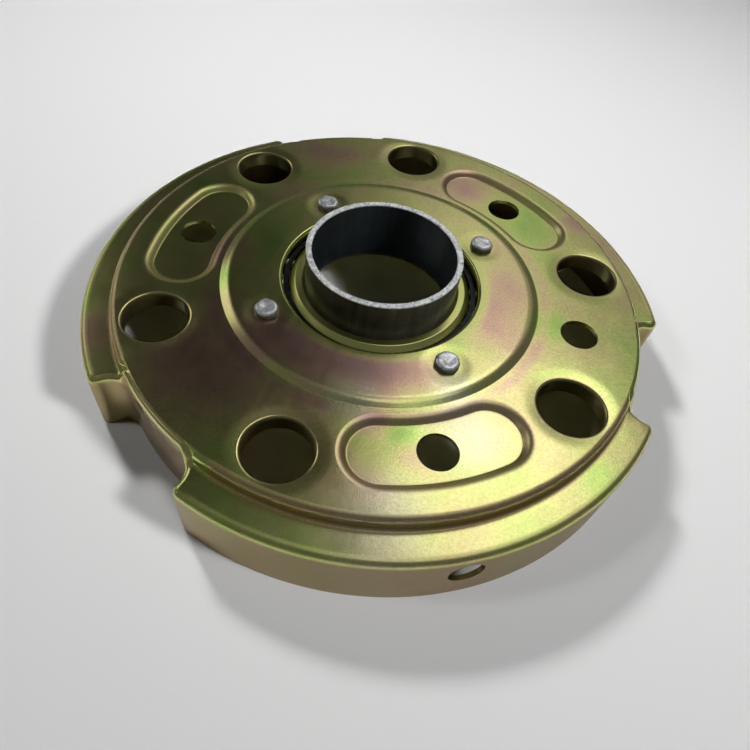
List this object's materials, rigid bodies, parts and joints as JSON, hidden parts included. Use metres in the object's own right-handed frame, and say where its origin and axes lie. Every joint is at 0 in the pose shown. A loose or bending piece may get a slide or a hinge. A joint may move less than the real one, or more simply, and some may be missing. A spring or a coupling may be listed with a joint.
{
  "type": "roller shutter pulley",
  "caption": "Pressed steel shutter pulley with a notched, stepped rim, kidney recesses, drawn holes and a ball race round a short hub tube.",
  "frame": {"origin": "on the hub tube's axis, level with the wheel's main face", "axes": "+Z along the hub tube's axis, out of the wheel's face; +X through the single plain hole beside one notch"},
  "size_m": [0.1973, 0.2, 0.0407],
  "materials": {
    "yellow_zinc_steel": "pressed sheet steel, zinc plated with a yellow iridescent passivation",
    "yellow_zinc_ring": "turned ring, zinc plated with a yellow iridescent passivation",
    "dark_tube_steel": "drawn tube, dull outside, with a bare sawn end",
    "dark_cage_steel": "dark oiled sheet",
    "rivet_steel": "peened, dull grey",
    "ball_steel": "ground bearing balls with a film of grease"
  },
  "bodies": {
    "wheel": {"pulley_disc": "yellow_zinc_steel", "race_plate": "yellow_zinc_steel", "rivet_1": "rivet_steel", "rivet_2": "rivet_steel", "rivet_3": "rivet_steel", "rivet_4": "rivet_steel"},
    "hub": {"hub_tube": "dark_tube_steel", "inner_race": "yellow_zinc_ring"},
    "ball_ring": {"ball_cage": "dark_cage_steel", "ball_1": "ball_steel", "ball_2": "ball_steel", "ball_3": "ball_steel", "ball_4": "ball_steel", "ball_5": "ball_steel", "ball_6": "ball_steel", "ball_7": "ball_steel", "ball_8": "ball_steel", "ball_9": "ball_steel", "ball_10": "ball_steel", "ball_11": "ball_steel", "ball_12": "ball_steel", "ball_13": "ball_steel", "ball_14": "ball_steel", "ball_15": "ball_steel", "ball_16": "ball_steel", "ball_17": "ball_steel", "ball_18": "ball_steel", "ball_19": "ball_steel", "ball_20": "ball_steel"}
  },
  "joints": [
    {"name": "hub_spin", "type": "hinge", "parent": "wheel", "child": "hub", "pos_m": [0, 0, 0], "axis": [0, 0, 1], "continuous": true},
    {"name": "ball_ring_spin", "type": "hinge", "parent": "wheel", "child": "ball_ring", "pos_m": [0, 0, 0], "axis": [0, 0, 1], "continuous": true}
  ],
  "couplings": [
    {"joint": "ball_ring_spin", "follows": "hub_spin", "ratio": 0.4552}
  ]
}
